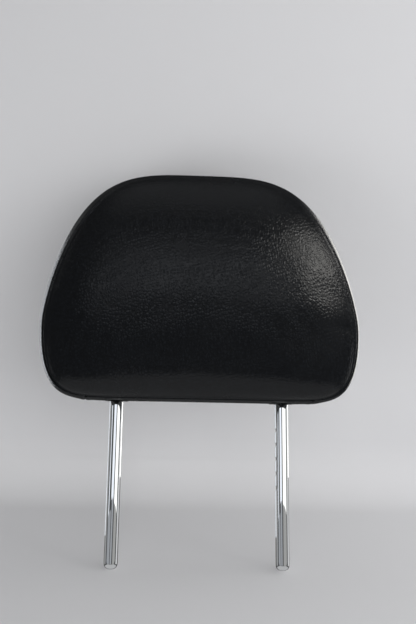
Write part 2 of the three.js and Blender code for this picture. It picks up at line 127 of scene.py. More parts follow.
# Camera and room. In the photo the headrest stands on its tips and leans back against a wall, so the
# room is turned round the tips by that lean, and the headrest stays upright.
LENS = 50
SENSOR_WIDTH = 36
CAMERA_PLACE = Vector((-0.036, -0.7851, 0.0354))
CAMERA_YAW = math.radians(3.13)
CAMERA_PITCH = math.radians(14)
CAMERA_ROLL = math.radians(0.69)
LEAN = math.radians(22)
ROOM_UP = Vector((0, -math.sin(LEAN), math.cos(LEAN)))
ROOM_BACK = Vector((0, math.cos(LEAN), math.sin(LEAN)))
FLOOR_DROP = 1.35 * MM
WALL_BACK = 0.205
COVE = 0.06
WALL_TOP = 3.0
ROOM_HALF_WIDTH = 3.0
HEAD_MIDDLE = Vector((0, 0, 0.25))
BOARD_Y = -0.5


# Small helpers


def add_node(tree, kind, inputs=None, **settings):
    """Adds one node to a tree with its settings, and gives its sockets a value or a link."""
    made = tree.nodes.new(kind)
    for name, value in settings.items():
        setattr(made, name, value)
    for name, value in (inputs or {}).items():
        if isinstance(value, bpy.types.NodeSocket):
            tree.links.new(value, made.inputs[name])
        else:
            made.inputs[name].default_value = value
    return made


def colour(hex_code):
    """An sRGB hex code as linear RGBA."""
    parts = [int(hex_code[i : i + 2], 16) / 255 for i in (1, 3, 5)]
    return (*[c / 12.92 if c <= 0.04045 else ((c + 0.055) / 1.055) ** 2.4 for c in parts], 1)


def smoothstep(low, high, value):
    share = np.clip((value - low) / (high - low), 0, 1)
    return share * share * (3 - 2 * share)


def mesh_object(name, points, faces, smooth=True):
    """A mesh with its place in its vertices; points are in metres."""
    mesh = bpy.data.meshes.new(name)
    mesh.from_pydata([tuple(p) for p in np.asarray(points, float)], [], faces)
    mesh.validate()
    mesh.update()
    if smooth:
        mesh.shade_smooth()
    made = bpy.data.objects.new(name, mesh)
    scene.collection.objects.link(made)
    return made


def dress(obj, body, slot, material, *nodes):
    """Gives a finished piece its material, its body and the CAD nodes that it stands for, which it hides. The
    slot argument is not used.
    """
    obj.data.materials.clear()
    obj.data.materials.append(material)
    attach(obj, body)
    if nodes:
        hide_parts(*nodes)
    return obj


# The head's surface, with the same rule as its solids


def right_outline(turn):
    """The right half of the outline: x and z at turns from 0, the underside's middle, to 0.5, the crown."""
    rise = np.radians(turn * 360 - 90)
    lower = rise < 0
    across = np.where(lower, LOWER_OUTLINE[0], UPPER_OUTLINE[0])
    up = np.where(lower, LOWER_OUTLINE[1], UPPER_OUTLINE[1])
    cos, sin = np.maximum(np.cos(rise), 0), np.abs(np.sin(rise))
    low, high = np.full(turn.shape, 0.5), np.full(turn.shape, 2.0)
    for _ in range(40):
        reach = (low + high) / 2
        inside = (reach * cos) ** across + (reach * sin) ** up < 1
        low, high = np.where(inside, reach, low), np.where(inside, high, reach)
    height = np.where(lower, UNDERSIDE_Z - WIDEST_Z, UNDERSIDE_Z + HEAD_HEIGHT - WIDEST_Z)
    return reach * cos * HEAD_WIDTH / 2, WIDEST_Z + reach * sin * height


OUTLINE_TURNS = np.linspace(0, 0.5, 8001)
OUTLINE_X, OUTLINE_Z = right_outline(OUTLINE_TURNS)


def outline(turn):
    """The outline from the front: turn 0 is the underside's middle, 0.25 the right side, 0.5 the crown."""
    turn = np.asarray(turn, float) % 1
    side = np.where(turn <= 0.5, 1.0, -1.0)
    half = np.where(turn <= 0.5, turn, 1 - turn)
    return side * np.interp(half, OUTLINE_TURNS, OUTLINE_X), np.interp(half, OUTLINE_TURNS, OUTLINE_Z)


def height_share(z):
    return (z - UNDERSIDE_Z) / HEAD_HEIGHT


def half_depth(share, side):
    return np.where(side < 0, FRONT_DEPTH - FRONT_DEPTH_LOST * share, REAR_DEPTH - REAR_DEPTH_LOST * share)


def skin(turn, angle, inset=0.0):
    """A point of the head: how far round the outline, the angle round the section from its widest
    line in degrees (-90 is the front's middle, 90 the rear's), and how deep under the surface."""
    turn, angle = np.broadcast_arrays(np.asarray(turn, float), np.asarray(angle, float))
    edge_x, edge_z = outline(turn)
    power = SQUARENESS - SQUARENESS_LOST * height_share(edge_z)
    cos, sin = np.abs(np.cos(np.radians(angle))), np.abs(np.sin(np.radians(angle)))
    reach = (cos**power + sin**power) ** (-1 / power)
    side = np.sign(angle)
    across = cos * reach * (1 - inset / np.hypot(edge_x, edge_z - CENTRE_Z))
    flat_z = CENTRE_Z + across * (edge_z - CENTRE_Z)
    share = height_share(flat_z)
    y = EDGE_LINE_OFFSET + CROWN_LEAN_BACK * share * share
    y = y + side * sin * reach * (half_depth(share, side) - inset)
    return np.stack([across * edge_x, y, flat_z + UNDERSIDE_RISE * y * (1 - share)], -1)


def front_seam(turn):
    """Angle of the front seam, in front of the widest line and a little nearer to it over the crown."""
    return FRONT_SEAM_LOST * smoothstep(CROWN_START, 1, height_share(outline(turn)[1])) - FRONT_SEAM


def rear_seam(turn):
    return np.full(np.shape(turn), float(REAR_SEAM))


def degrees_for(turn, angle, length):
    """How many degrees round the section make a length along the surface there."""
    return length / (np.linalg.norm(skin(turn, angle + 0.5) - skin(turn, angle - 0.5), axis=-1))


def turn_for(turn, angle, length):
    """How much of a turn makes a length along the surface there."""
    return length / (np.linalg.norm(skin(turn + 5e-4, angle) - skin(turn - 5e-4, angle), axis=-1) / 1e-3)


def turn_at(x):
    """The turn where the outline of the underside is that far from the middle."""
    low, high = 0.0, 0.25
    for _ in range(40):
        middle = (low + high) / 2
        low, high = (middle, high) if outline(middle)[0] < x else (low, middle)
    return low


# Leather panels. Each is a closed sheet: an outer grid that the foam swells between its seams, lips
# that turn in at the seams, and an inner grid.


def border(rows, columns):
    """Indices of a grid's border, once round."""
    first = [(0, j) for j in range(columns)]
    right = [(i, columns - 1) for i in range(1, rows)]
    last = [(rows - 1, j) for j in range(columns - 2, -1, -1)]
    left = [(i, 0) for i in range(rows - 2, 0, -1)]
    return np.array(first + right + last + left)


def grid_faces(rows, columns, start, turned):
    faces = []
    for i in range(rows - 1):
        for j in range(columns - 1):
            a = start + i * columns + j
            face = [a, a + 1, a + columns + 1, a + columns]
            faces.append(face[::-1] if turned else face)
    return faces


def swell(grids):
    """Cloth simulation: pressure lifts each panel off the foam between its seams, as soft leather
    does over foam. Gives back each grid's points, moved at most SWELL_CAP."""
    sheets = []
    for name, points in grids.items():
        rows, columns = points.shape[:2]
        obj = mesh_object("swell_" + name, points.reshape(-1, 3), grid_faces(rows, columns, 0, False))
        pin = obj.vertex_groups.new(name="seam")
        pin.add([int(i * columns + j) for i, j in border(rows, columns)], 1.0, "REPLACE")
        cloth = obj.modifiers.new("swell", "CLOTH")
        cloth.settings.vertex_group_mass = "seam"
        cloth.settings.quality = 6
        cloth.settings.mass = 0.4
        cloth.settings.tension_stiffness = cloth.settings.compression_stiffness = 14
        cloth.settings.shear_stiffness = 6
        cloth.settings.bending_stiffness = 8
        cloth.settings.use_pressure = True
        cloth.settings.uniform_pressure_force = SWELL_PRESSURE
        cloth.settings.effector_weights.gravity = 0
        cloth.collision_settings.use_collision = False
        cloth.point_cache.frame_start, cloth.point_cache.frame_end = 1, SWELL_STEPS
        sheets.append(obj)
    for step in range(1, SWELL_STEPS + 1):
        scene.frame_set(step)
    graph = bpy.context.evaluated_depsgraph_get()
    moved = {}
    for obj, (name, points) in zip(sheets, grids.items()):
        done = obj.evaluated_get(graph).data
        after = np.empty(len(done.vertices) * 3, np.float32)
        done.vertices.foreach_get("co", after)
        shift = after.reshape(points.shape) - points
        for _ in range(IRONED):
            # The foam is stiffer than the leather, so it irons out the small buckles
            inner = shift[:-2, 1:-1] + shift[2:, 1:-1] + shift[1:-1, :-2] + shift[1:-1, 2:]
            shift[1:-1, 1:-1] = (shift[1:-1, 1:-1] + inner / 4) / 2
        length = np.linalg.norm(shift, axis=-1, keepdims=True)
        moved[name] = points + shift * np.minimum(1, SWELL_CAP / np.maximum(length, 1e-9))
        bpy.data.objects.remove(obj)
    scene.frame_set(1)
    return moved


def disc_grid(count, seam, seam_side, turned):
    """Turns and angles of a round panel's grid: a square grid bent to fill the seam's loop, so that
    it has no pole. seam_side is -1 where the panel lies to the front of its seam."""
    u, v = np.meshgrid(np.linspace(-1, 1, count), np.linspace(-1, 1, count))
    x, z = u * np.sqrt(1 - v * v / 2), v * np.sqrt(1 - u * u / 2)
    turn = np.arctan2(x, -z) / (2 * math.pi) % 1
    at_seam = seam(turn)
    gap = degrees_for(turn, at_seam, SEAM_GAP)
    lip = degrees_for(turn, at_seam, LIP_WIDTH)
    edge = at_seam + seam_side * (gap + lip)
    middle = 90 * seam_side
    angle = middle + (edge - middle) * np.clip(np.hypot(x, z), 0, 1)
    seam_angle = at_seam + seam_side * gap
    return {"turn": turn, "angle": angle, "seam_turn": turn, "seam_angle": seam_angle, "turned": turned}


def strip_grid(rows, columns, from_turn, to_turn):
    """Turns and angles of the band's grid, between the front and the rear seam and two cross seams."""
    u, v = np.meshgrid(np.linspace(0, 1, rows), np.linspace(0, 1, columns), indexing="ij")
    gap = turn_for(from_turn, 0.0, SEAM_GAP)
    lip = turn_for(from_turn, 0.0, LIP_WIDTH)
    turn = from_turn + gap + lip + (to_turn - from_turn - 2 * gap - 2 * lip) * u
    seam_turn = np.where(u == 0, from_turn + gap, np.where(u == 1, to_turn - gap, turn))
    low, high = front_seam(turn), rear_seam(turn)
    low_gap, high_gap = degrees_for(turn, low, SEAM_GAP), degrees_for(turn, high, SEAM_GAP)
    low_lip, high_lip = degrees_for(turn, low, LIP_WIDTH), degrees_for(turn, high, LIP_WIDTH)
    start, end = low + low_gap + low_lip, high - high_gap - high_lip
    angle = start + (end - start) * v
    seam_angle = np.where(v == 0, low + low_gap, np.where(v == 1, high - high_gap, angle))
    return {"turn": turn, "angle": angle, "seam_turn": seam_turn, "seam_angle": seam_angle, "turned": True}


def press_front(points, angle):
    """The front panel keeps the print of the heads that leaned on it: its lower half is pressed a
    little flatter, up to a soft ridge that drops towards the right."""
    ridge = RIDGE_Z - RIDGE_DROP * points[..., 0]
    rise = np.exp(-(((points[..., 2] - ridge) / RIDGE_WIDTH) ** 2))
    points[..., 1] -= RIDGE_HEIGHT * rise * smoothstep(*RIDGE_EDGE, -angle)


def panel(name, grid, outer):
    """The closed sheet of one panel round its swollen outer grid."""
    rows, columns = grid["turn"].shape
    ring = border(rows, columns)
    i, j = ring[:, 0], ring[:, 1]
    seam_turn, seam_angle = grid["seam_turn"][i, j], grid["seam_angle"][i, j]
    at_seam = skin(seam_turn, seam_angle)
    inward = skin(seam_turn, seam_angle, 1 * MM) - at_seam
    inward = inward / np.linalg.norm(inward, axis=-1, keepdims=True)
    at_edge = outer[i, j]
    lips = []
    for bend in np.radians(LIP_BENDS):
        share, depth = math.sin(bend), LIP_DEPTH * (1 - math.cos(bend))
        lips.append(at_edge + (at_seam - at_edge) * share + inward * depth)
    lips.append(at_seam + inward * WALL)
    inner = skin(grid["turn"], grid["angle"], WALL + LINING_ROOM)
    points = np.concatenate([outer.reshape(-1, 3), *lips, inner.reshape(-1, 3)])
    area, loop = rows * columns, len(ring)
    inner_start = area + loop * len(lips)
    flat = i * columns + j
    loops = [flat, *[area + k * loop + np.arange(loop) for k in range(len(lips))], inner_start + flat]
    turned = grid["turned"]
    faces = grid_faces(rows, columns, 0, turned) + grid_faces(rows, columns, inner_start, not turned)
    for near, far in zip(loops[:-1], loops[1:]):
        for k in range(loop):
            n = (k + 1) % loop
            face = [int(near[k]), int(far[k]), int(far[n]), int(near[n])]
            faces.append(face[::-1] if turned else face)
    made = mesh_object(name, points, faces)
    finer = made.modifiers.new("finer", "SUBSURF")
    finer.levels = finer.render_levels = 1
    return made


# Materials


def material(name):
    made = bpy.data.materials.new(name)
    made.use_nodes = True
    made.node_tree.nodes.clear()
    return made, made.node_tree


def grained_leather():
    """Corrected-grain cowhide with a black pigmented finish, pressed with a fine pebble: a soft
    sheen broken by the grain, a few shallow slanting creases where heads have pressed it, and
    patches that years of wear have left a little duller."""
    made, tree = material("pigmented_leather_pressed_grain")
    place = add_node(tree, "ShaderNodeTexCoord").outputs["Object"]
    # Pebbles 2.4 mm wide and half as tall again, as they measure in the photo
    taller = add_node(
        tree,
        "ShaderNodeMapping",
        {"Vector": place, "Rotation": (0.0, math.radians(12), 0.0), "Scale": (1, 1, 0.65)},
    )
    pebble = add_node(
        tree,
        "ShaderNodeTexVoronoi",
        {"Vector": taller.outputs[0], "Scale": 1 / (2.4 * MM), "Randomness": 0.75},
        feature="DISTANCE_TO_EDGE",
    )
    valley = add_node(
        tree,
        "ShaderNodeMapRange",
        {"Value": pebble.outputs["Distance"], "From Min": 0.0, "From Max": 0.4},
        interpolation_type="SMOOTHSTEP",
    )
    # Hair pores 0.6 mm apart, and worn patches about 42 mm across
    pores = add_node(tree, "ShaderNodeTexNoise", {"Vector": place, "Scale": 1 / (0.6 * MM), "Detail": 2.0})
    patch = add_node(tree, "ShaderNodeTexNoise", {"Vector": place, "Scale": 1 / (42 * MM), "Detail": 3.0})
    # Creases wander by up to 2.5 mm
    warp = add_node(tree, "ShaderNodeTexNoise", {"Vector": place, "Scale": 1 / (9 * MM), "Detail": 2.0})
    shift = add_node(
        tree, "ShaderNodeVectorMath", {0: warp.outputs["Color"], 1: (0.5, 0.5, 0.5)}, operation="SUBTRACT"
    )
    spread = add_node(
        tree, "ShaderNodeVectorMath", {0: shift.outputs[0], "Scale": 2.5 * MM}, operation="SCALE"
    )
    warped = add_node(
        tree, "ShaderNodeVectorMath", {0: place, 1: spread.outputs[0]}, operation="ADD"
    ).outputs[0]
    # They are about 9 mm apart and 40 mm long, and slant the way they do in the photo
    slanted = add_node(
        tree, "ShaderNodeMapping", {"Vector": warped, "Rotation": (0.0, math.radians(-38), 0.0)}
    ).outputs[0]
    drawn = add_node(tree, "ShaderNodeVectorMath", {0: slanted, 1: (1.0, 0.5, 0.22)}, operation="MULTIPLY")
    crease = add_node(
        tree,
        "ShaderNodeTexNoise",
        {"Vector": drawn.outputs[0], "Scale": 1 / (17 * MM), "Detail": 3.0, "Roughness": 0.6},
    )
    from_line = add_node(tree, "ShaderNodeMath", {0: crease.outputs["Fac"], 1: 0.5}, operation="SUBTRACT")
    off_line = add_node(tree, "ShaderNodeMath", {0: from_line.outputs[0]}, operation="ABSOLUTE")
    cut = add_node(
        tree,
        "ShaderNodeMapRange",
        {"Value": off_line.outputs[0], "From Min": 0.0, "From Max": 0.012},
        interpolation_type="SMOOTHSTEP",
    )
    # They lie within 85 mm of the spot where a head rests, and show most within 40 mm of it
    off_rest = add_node(
        tree, "ShaderNodeVectorMath", {0: warped, 1: (0.035, -0.045, 0.275)}, operation="DISTANCE"
    )
    pressed = add_node(
        tree,
        "ShaderNodeMapRange",
        {"Value": off_rest.outputs["Value"], "From Min": 85 * MM, "From Max": 40 * MM},
        interpolation_type="SMOOTHSTEP",
    )
    uncut = add_node(tree, "ShaderNodeMath", {0: 1.0, 1: pressed.outputs[0]}, operation="SUBTRACT")
    crinkle = add_node(tree, "ShaderNodeMath", {0: cut.outputs[0], 1: uncut.outputs[0]}, operation="MAXIMUM")
    depth = add_node(tree, "ShaderNodeMath", {0: crinkle.outputs[0], 1: 0.3}, operation="MULTIPLY").outputs[0]
    ground = add_node(
        tree, "ShaderNodeMath", {0: valley.outputs[0], 1: 0.8, 2: depth}, operation="MULTIPLY_ADD"
    ).outputs[0]
    height = add_node(
        tree, "ShaderNodeMath", {0: pores.outputs["Fac"], 1: 0.1, 2: ground}, operation="MULTIPLY_ADD"
    ).outputs[0]
    bump = add_node(tree, "ShaderNodeBump", {"Height": height, "Strength": 0.42, "Distance": 0.35 * MM})
    tone = add_node(
        tree,
        "ShaderNodeMix",
        {"Factor": valley.outputs[0], "A": colour("#0d0e10"), "B": colour("#131518")},
        data_type="RGBA",
    )
    rough = add_node(
        tree,
        "ShaderNodeMapRange",
        {"Value": patch.outputs["Fac"], "From Min": 0.35, "From Max": 0.65, "To Min": 0.2, "To Max": 0.28},
    )
    shader = add_node(
        tree,
        "ShaderNodeBsdfPrincipled",
        {
            "Base Color": tone.outputs["Result"],
            "Roughness": rough.outputs[0],
            "IOR": 1.5,
            "Specular IOR Level": 0.32,
            "Normal": bump.outputs[0],
        },
    )
    add_node(tree, "ShaderNodeOutputMaterial", {"Surface": shader.outputs[0]})
    return made


def bright_chrome():
    """Decorative chromium plate on polished steel: a near mirror with faint lengthwise polishing
    lines and light handling haze."""
    made, tree = material("chromium_plate_polished")
    place = add_node(tree, "ShaderNodeTexCoord").outputs["Object"]
    # Polishing lines 0.5 mm apart and 30 mm long
    per_mm = (1 / (0.5 * MM), 1 / (0.5 * MM), 1 / (30 * MM))
    drawn = add_node(tree, "ShaderNodeMapping", {"Vector": place, "Scale": per_mm})
    lines = add_node(tree, "ShaderNodeTexNoise", {"Vector": drawn.outputs[0], "Scale": 1.0, "Detail": 2.0})
    haze = add_node(tree, "ShaderNodeTexNoise", {"Vector": place, "Scale": 1 / (17 * MM), "Detail": 4.0})
    rough = add_node(
        tree,
        "ShaderNodeMapRange",
        {"Value": haze.outputs["Fac"], "From Min": 0.35, "From Max": 0.75, "To Min": 0.02, "To Max": 0.06},
    )
    bump = add_node(
        tree, "ShaderNodeBump", {"Height": lines.outputs["Fac"], "Strength": 0.06, "Distance": 0.05 * MM}
    )
    shader = add_node(
        tree,
        "ShaderNodeBsdfPrincipled",
        {
            "Base Color": colour("#eef0f2"),
            "Metallic": 1.0,
            "Roughness": rough.outputs[0],
            "Normal": bump.outputs[0],
        },
    )
    add_node(tree, "ShaderNodeOutputMaterial", {"Surface": shader.outputs[0]})
    return made


def plain_surface(name, dark, light, roughness, grain, depth, metallic=0.0, stretch=(1, 1, 1)):
    """One moulded, foamed or plated finish: a grain of that width in two tones, and its bump."""
    made, tree = material(name)
    place = add_node(tree, "ShaderNodeTexCoord").outputs["Object"]
    drawn = add_node(tree, "ShaderNodeMapping", {"Vector": place, "Scale": stretch})
    noise = add_node(
        tree, "ShaderNodeTexNoise", {"Vector": drawn.outputs[0], "Scale": 1 / grain, "Detail": 3.0}
    )
    share = noise.outputs["Fac"]
    tone = add_node(
        tree, "ShaderNodeMix", {"Factor": share, "A": colour(dark), "B": colour(light)}, data_type="RGBA"
    )
    rough = add_node(
        tree, "ShaderNodeMapRange", {"Value": share, "To Min": roughness[0], "To Max": roughness[1]}
    )
    bump = add_node(tree, "ShaderNodeBump", {"Height": share, "Strength": 0.5, "Distance": depth})
    shader = add_node(
        tree,
        "ShaderNodeBsdfPrincipled",
        {
            "Base Color": tone.outputs["Result"],
            "Metallic": metallic,
            "Roughness": rough.outputs[0],
            "Normal": bump.outputs[0],
        },
    )
    add_node(tree, "ShaderNodeOutputMaterial", {"Surface": shader.outputs[0]})
    return made


leather = grained_leather()
chrome = bright_chrome()
# Injection-moulded ABS with a spark-eroded matt grain
black_abs = plain_surface("abs_moulded_black", "#101112", "#1b1c1e", (0.38, 0.5), 0.5 * MM, 0.03 * MM)
# Glass-filled nylon: dull grey with short pale fibres at the skin
grey_nylon = plain_surface(
    "glass_filled_nylon_moulded", "#4a4c4e", "#606366", (0.5, 0.65), 0.8 * MM, 0.04 * MM, stretch=(1, 1, 3)
)
# Acetal: creamy, waxy and smooth
acetal = plain_surface("acetal_moulded", "#d8d4c6", "#ebe8dd", (0.3, 0.38), 2 * MM, 0.01 * MM)
# Polyurethane foam with a moulded skin: matt, with open pores
moulded_foam = plain_surface(
    "polyurethane_foam_moulded", "#6f706a", "#9a9b94", (0.9, 1.0), 1.2 * MM, 0.4 * MM
)
# Hardened spring strip: blue-grey and lightly oiled, rolled lengthwise
spring_strip = plain_surface(
    "spring_steel_rolled", "#6e747b", "#8b9197", (0.28, 0.4), 0.4 * MM, 0.01 * MM, 1.0, (12, 1, 1)
)
# Zinc plate with a yellow passivate
zinc = plain_surface("zinc_plate_passivated", "#a89f7e", "#c8c4b2", (0.3, 0.45), 1.5 * MM, 0.01 * MM, 1.0)


# Leather cover

cross_seam = turn_at(BAND_HALF_WIDTH)
grids = {
    "leather_front_panel": disc_grid(DOME_STEPS, front_seam, -1, False),
    "leather_rear_panel": disc_grid(DOME_STEPS, rear_seam, 1, True),
    "leather_side_band": strip_grid(SIDE_STEPS, BAND_STEPS, cross_seam, 1 - cross_seam),
    "leather_underside_panel": strip_grid(UNDERSIDE_STEPS, BAND_STEPS, -cross_seam, cross_seam),
}
outer = {name: skin(g["turn"], g["angle"], SWELL_ROOM) for name, g in grids.items()}
for name, g in grids.items():
    # The lips start on the skin itself, and the swelling starts inside them
    i, j = border(*g["turn"].shape).T
    outer[name][i, j] = skin(g["turn"][i, j], g["angle"][i, j])
press_front(outer["leather_front_panel"], grids["leather_front_panel"]["angle"])
outer = swell(outer)
covers = {name: panel(name, g, outer[name]) for name, g in grids.items()}


# Posts


def post_stations():
    """Stations along the bar from the right tip to the left tip: centre, direction and radius."""
    rings = []
    for bend in np.radians(np.linspace(90, 0, 9)):
        flat = POST_RADIUS - POST_TIP_ROUND
        rings.append((POST_TIP_ROUND * (1 - math.sin(bend)), flat + POST_TIP_ROUND * math.cos(bend)))
    heights = set(np.linspace(POST_TIP_ROUND, CROSSBAR_Z - POST_BEND_RADIUS, 40)[1:])
    for k in range(NOTCH_COUNT):
        z = LOWEST_NOTCH + k * NOTCH_PITCH
        low, high = z - NOTCH_HEIGHT / 2, z + NOTCH_HEIGHT / 2
        heights |= {low - NOTCH_RAMP - HAIR, low - NOTCH_RAMP, low, low + NOTCH_EDGE}
        heights |= {high - NOTCH_EDGE, high - HAIR, high, high + NOTCH_EDGE}
    leg = [(POST_X, z, 0.0, r) for z, r in rings] + [(POST_X, z, 0.0, POST_RADIUS) for z in sorted(heights)]
    bend_z = CROSSBAR_Z - POST_BEND_RADIUS
    for turn in np.radians(np.linspace(0, 90, 13)[1:]):
        x, z = POST_X - POST_BEND_RADIUS * (1 - math.cos(turn)), bend_z + POST_BEND_RADIUS * math.sin(turn)
        leg.append((x, z, turn, POST_RADIUS))
    return leg + [(-x, z, math.pi - turn, r) for x, z, turn, r in reversed(leg)]


def notch_limit(z):
    """How far in the inner side of the right post is cut at a height: ramped below, flat above."""
    face = POST_X - POST_RADIUS
    for k in range(NOTCH_COUNT):
        low = LOWEST_NOTCH + k * NOTCH_PITCH - NOTCH_HEIGHT / 2
        if low - NOTCH_RAMP <= z <= low + NOTCH_HEIGHT - HAIR / 2:
            return face + NOTCH_DEPTH * min(1.0, (z - low + NOTCH_RAMP) / NOTCH_RAMP)
    return -1.0


def post_bar():
    sides = POST_SIDES
    round_ = np.linspace(0, 2 * math.pi, sides, endpoint=False)
    stations = post_stations()
    points, faces = [], []
    for index, (x, z, turn, radius) in enumerate(stations):
        limit = notch_limit(z) if index < len(stations) / 2 and turn == 0 else -1.0
        for a in round_:
            px = x + radius * math.cos(a) * math.cos(turn)
            points.append((max(px, limit), radius * math.sin(a), z + radius * math.cos(a) * math.sin(turn)))
    for s in range(len(stations) - 1):
        for k in range(sides):
            n = (k + 1) % sides
            faces.append([s * sides + k, s * sides + n, (s + 1) * sides + n, (s + 1) * sides + k])
    faces.append([k for k in range(sides)][::-1])
    faces.append([(len(stations) - 1) * sides + k for k in range(sides)])
    return mesh_object("chromed_post_bar", points, faces)


posts = post_bar()
posts.data.set_sharp_from_angle(angle=math.radians(35))
dress(posts, "posts", "chrome", chrome, "post_frame")


# Slot bezels


def underside_height(x, y):
    """Height of the underside at points of the plan."""
    turn_low, turn_high = np.zeros_like(x), np.full_like(x, 0.2)
    angle_low, angle_high = np.full_like(x, -50.0), np.full_like(x, 50.0)
    for _ in range(36):
        angle = (angle_low + angle_high) / 2
        low, high = turn_low.copy(), turn_high.copy()
        for _ in range(36):
            turn = (low + high) / 2
            short = skin(turn, angle)[..., 0] < np.abs(x)
            low, high = np.where(short, turn, low), np.where(short, high, turn)
        behind = skin(turn, angle)[..., 1] < y
        angle_low, angle_high = np.where(behind, angle, angle_low), np.where(behind, angle_high, angle)
    return skin(turn, angle)[..., 2]


def slot_path(x, outside):
    """A slot's edge in the plan, that far outside it: two half rounds joined by straight sides."""
    radius = SLOT_RADIUS + outside
    rear = np.radians(np.linspace(0, 180, SLOT_STEPS))
    front = np.radians(np.linspace(180, 360, SLOT_STEPS))
    return np.concatenate(
        [
            np.stack([x + radius * np.cos(rear), SLOT_REAR + radius * np.sin(rear)], -1),
            np.stack([x + radius * np.cos(front), SLOT_FRONT + radius * np.sin(front)], -1),
        ]
    )


def round_slot(name, x, section):
    """A section swept round a slot; it is given as how far outside the slot's edge and how far above
    the underside each of its points lies."""
    points, faces, count = [], [], len(section)
    for out, up in section:
        plan = slot_path(x, out)
        points.append(np.column_stack([plan, underside_height(plan[:, 0], plan[:, 1]) + up]))
    loop = len(points[0])
    for s in range(count):
        for k in range(loop):
            a, b = s * loop + k, s * loop + (k + 1) % loop
            c, d = (s + 1) % count * loop + (k + 1) % loop, (s + 1) % count * loop + k
            faces.append([a, d, c, b])
    return mesh_object(name, np.concatenate(points), faces)


def slot_bezel(name, x):
    """A black frame flush in the underside, with its edges rounded off."""
    section = [
        (0, BEZEL_ROUND),
        (BEZEL_BEVEL, BEZEL_BEVEL),
        (BEZEL_ROUND, 0),
        (BEZEL_RIM - BEZEL_ROUND, 0),
        (BEZEL_RIM - BEZEL_BEVEL, BEZEL_BEVEL),
        (BEZEL_RIM, BEZEL_ROUND),
        (BEZEL_RIM, BEZEL_FLANGE_THICKNESS),
        (BEZEL_WALL, BEZEL_FLANGE_THICKNESS),
        (BEZEL_WALL, BEZEL_COLLAR),
        (0, BEZEL_COLLAR),
    ]
    made = round_slot(name, x, section)
    made.data.set_sharp_from_angle(angle=math.radians(50))
    return made


for side, x in (("left", -POST_X), ("right", POST_X)):
    bezel = slot_bezel(f"bezel_{side}", x)
    dress(bezel, "head", "black_plastic", black_abs, f"slot_bezel_{side}")


def slot_opening(x):
    """The opening through the leather for one slot, as a closed solid."""
    plan = slot_path(x, BEZEL_WALL + BEZEL_FIT)
    loop = len(plan)
    points = [(*p, z) for z in (UNDERSIDE_Z - CUT_REACH, UNDERSIDE_Z + CUT_REACH) for p in plan]
    faces = [[k, (k + 1) % loop, loop + (k + 1) % loop, loop + k] for k in range(loop)]
    faces += [list(range(loop))[::-1], list(range(loop, 2 * loop))]
    return mesh_object("slot_opening", points, faces, smooth=False)


def slot_recess(x):
    """The recess in the leather for one bezel's flange, as a closed ring."""
    rim, ceiling = BEZEL_RIM + BEZEL_FIT, BEZEL_FLANGE_THICKNESS + BEZEL_FIT
    section = [(0, -RECESS_REACH), (rim, -RECESS_REACH), (rim, ceiling), (0, ceiling)]
    return round_slot("slot_recess", x, section)


def cut_slots(obj):
    """Cuts the two post slots, each with its recess, into the underside panel."""
    finer = obj.modifiers["finer"]
    graph = bpy.context.evaluated_depsgraph_get()
    dense = bpy.data.meshes.new_from_object(obj.evaluated_get(graph))
    obj.modifiers.remove(finer)
    obj.data = dense
    for cutter in [make(x) for x in (-POST_X, POST_X) for make in (slot_opening, slot_recess)]:
        cut = obj.modifiers.new("slot", "BOOLEAN")
        cut.operation, cut.solver, cut.object = "DIFFERENCE", "EXACT", cutter
        graph = bpy.context.evaluated_depsgraph_get()
        done = bpy.data.meshes.new_from_object(obj.evaluated_get(graph))
        obj.modifiers.remove(cut)
        obj.data = done
        bpy.data.objects.remove(cutter)
    obj.data.set_sharp_from_angle(angle=math.radians(50))


cut_slots(covers["leather_underside_panel"])
for part in ("front_panel", "rear_panel", "side_band", "underside_panel"):
    piece = covers[f"leather_{part}"]
    dress(piece, "head", "leather", leather, f"cover_{part}")


# Seam stitches


def stitch_tree():
    """Thread stitches along a seam: a short round stitch at each pitch, laid along the seam."""
    tree = bpy.data.node_groups.new("seam_stitches", "GeometryNodeTree")
    face = tree.interface
    face.new_socket("Seam", in_out="INPUT", socket_type="NodeSocketGeometry")
    sizes = {"Pitch": 3.6 * MM, "Stitch Length": 2.9 * MM, "Thread": 0.45 * MM}
    for name, value in sizes.items():
        face.new_socket(name, in_out="INPUT", socket_type="NodeSocketFloat").default_value = value
    face.new_socket("Finish", in_out="INPUT", socket_type="NodeSocketMaterial")
    face.new_socket("Stitches", in_out="OUTPUT", socket_type="NodeSocketGeometry")
    given = add_node(tree, "NodeGroupInput").outputs
    line = add_node(tree, "GeometryNodeMeshToCurve", {"Mesh": given["Seam"]})
    spots = add_node(
        tree,
        "GeometryNodeResampleCurve",
        {"Curve": line.outputs[0], "Length": given["Pitch"]},
        mode="LENGTH",
    )
    along = add_node(tree, "GeometryNodeInputTangent")
    turned = add_node(tree, "FunctionNodeAlignRotationToVector", {"Vector": along.outputs[0]}, axis="Z")
    thread = add_node(tree, "GeometryNodeMeshUVSphere", {"Segments": 8, "Rings": 6, "Radius": 0.5})
    width, length = given["Thread"], given["Stitch Length"]
    size = add_node(tree, "ShaderNodeCombineXYZ", {"X": width, "Y": width, "Z": length})
    laid = add_node(
        tree,
        "GeometryNodeInstanceOnPoints",
        {
            "Points": spots.outputs[0],
            "Instance": thread.outputs[0],
            "Rotation": turned.outputs[0],
            "Scale": size.outputs[0],
        },
    )
    real = add_node(tree, "GeometryNodeRealizeInstances", {"Geometry": laid.outputs[0]})
    painted = add_node(
        tree, "GeometryNodeSetMaterial", {"Geometry": real.outputs[0], "Material": given["Finish"]}
    )
    add_node(tree, "NodeGroupOutput", {"Stitches": painted.outputs[0]})
    return tree


